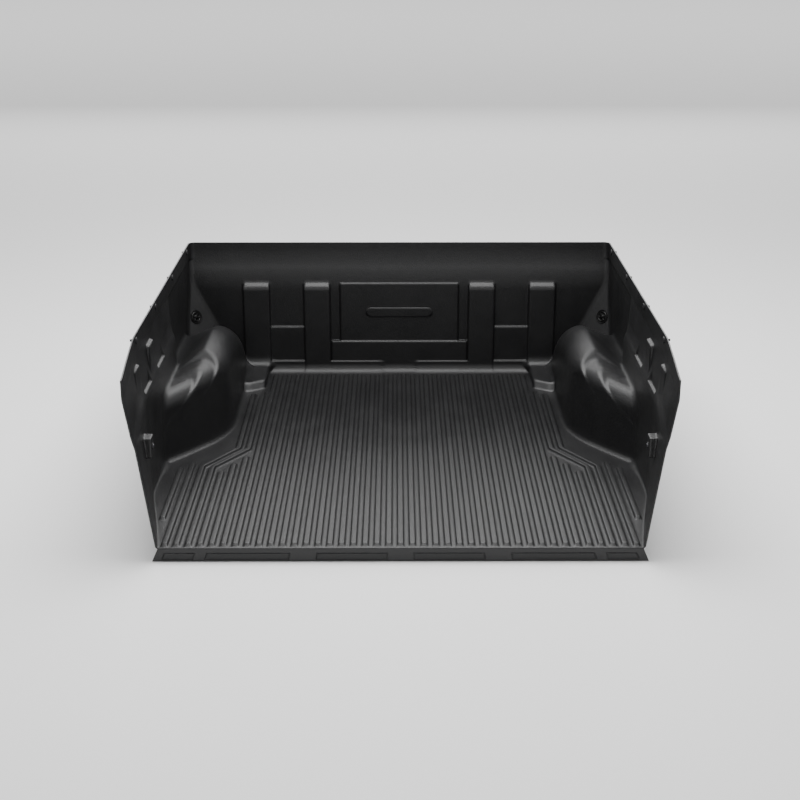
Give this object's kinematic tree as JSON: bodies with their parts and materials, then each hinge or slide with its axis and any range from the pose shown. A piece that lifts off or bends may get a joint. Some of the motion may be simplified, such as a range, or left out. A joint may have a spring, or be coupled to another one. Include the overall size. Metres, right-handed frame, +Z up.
{
  "type": "truck bed liner",
  "caption": "Under-rail drop-in pickup bed liner: ribbed floor, rear lip, stepped wheel wells, panelled bulkhead, corner plugs, push-in rivets under the rails.",
  "frame": {"origin": "bottom centre of the whole object's box: midway across, midway from the rear lip's face to the front foam, and level with the rear lip's lower edge", "axes": "+X across the bed to the right as seen from the tailgate, the longest side; +Y forward to the bulkhead; +Z up, the shortest side"},
  "size_m": [1.616, 1.59, 0.542],
  "materials": {
    "shell": "fine haircell-grained black polyethylene, satin",
    "plug": "smooth black moulded plastic, satin",
    "nylon": "moulded black nylon, satin",
    "steel": "black-coated steel",
    "spring_steel": "phosphated spring steel",
    "foam": "closed-cell foam"
  },
  "bodies": {
    "liner": {"liner_shell": "shell", "foam_strip_front": "foam", "rail_rivet_bodies_left": "nylon", "rear_screw_left": "steel", "cup_washer_left": "nylon", "clip_nut_left": "spring_steel", "foam_strip_left": "foam", "rail_rivet_bodies_right": "nylon", "rear_screw_right": "steel", "cup_washer_right": "nylon", "clip_nut_right": "spring_steel", "foam_strip_right": "foam"},
    "rivet_pin_left_1": {"rivet_pin_left_1": "nylon"},
    "rivet_pin_left_2": {"rivet_pin_left_2": "nylon"},
    "rivet_pin_left_3": {"rivet_pin_left_3": "nylon"},
    "rivet_pin_left_4": {"rivet_pin_left_4": "nylon"},
    "corner_plug_left": {"corner_plug_left": "plug"},
    "rivet_pin_right_1": {"rivet_pin_right_1": "nylon"},
    "rivet_pin_right_2": {"rivet_pin_right_2": "nylon"},
    "rivet_pin_right_3": {"rivet_pin_right_3": "nylon"},
    "rivet_pin_right_4": {"rivet_pin_right_4": "nylon"},
    "corner_plug_right": {"corner_plug_right": "plug"}
  },
  "joints": [
    {"name": "rivet_pin_left_1_slide", "type": "slide", "parent": "liner", "child": "rivet_pin_left_1", "axis": [1, 0, 0], "range_m": [0, 0.008]},
    {"name": "rivet_pin_left_2_slide", "type": "slide", "parent": "liner", "child": "rivet_pin_left_2", "axis": [1, 0, 0], "range_m": [0, 0.008]},
    {"name": "rivet_pin_left_3_slide", "type": "slide", "parent": "liner", "child": "rivet_pin_left_3", "axis": [1, 0, 0], "range_m": [0, 0.008]},
    {"name": "rivet_pin_left_4_slide", "type": "slide", "parent": "liner", "child": "rivet_pin_left_4", "axis": [1, 0, 0], "range_m": [0, 0.008]},
    {"name": "corner_plug_left_slide", "type": "slide", "parent": "liner", "child": "corner_plug_left", "axis": [0.6999, -0.6199, 0.3549], "range_m": [0, 0.02]},
    {"name": "rivet_pin_right_1_slide", "type": "slide", "parent": "liner", "child": "rivet_pin_right_1", "axis": [-1, 0, 0], "range_m": [0, 0.008]},
    {"name": "rivet_pin_right_2_slide", "type": "slide", "parent": "liner", "child": "rivet_pin_right_2", "axis": [-1, 0, 0], "range_m": [0, 0.008]},
    {"name": "rivet_pin_right_3_slide", "type": "slide", "parent": "liner", "child": "rivet_pin_right_3", "axis": [-1, 0, 0], "range_m": [0, 0.008]},
    {"name": "rivet_pin_right_4_slide", "type": "slide", "parent": "liner", "child": "rivet_pin_right_4", "axis": [-1, 0, 0], "range_m": [0, 0.008]},
    {"name": "corner_plug_right_slide", "type": "slide", "parent": "liner", "child": "corner_plug_right", "axis": [-0.6999, -0.6199, 0.3549], "range_m": [0, 0.02]}
  ]
}
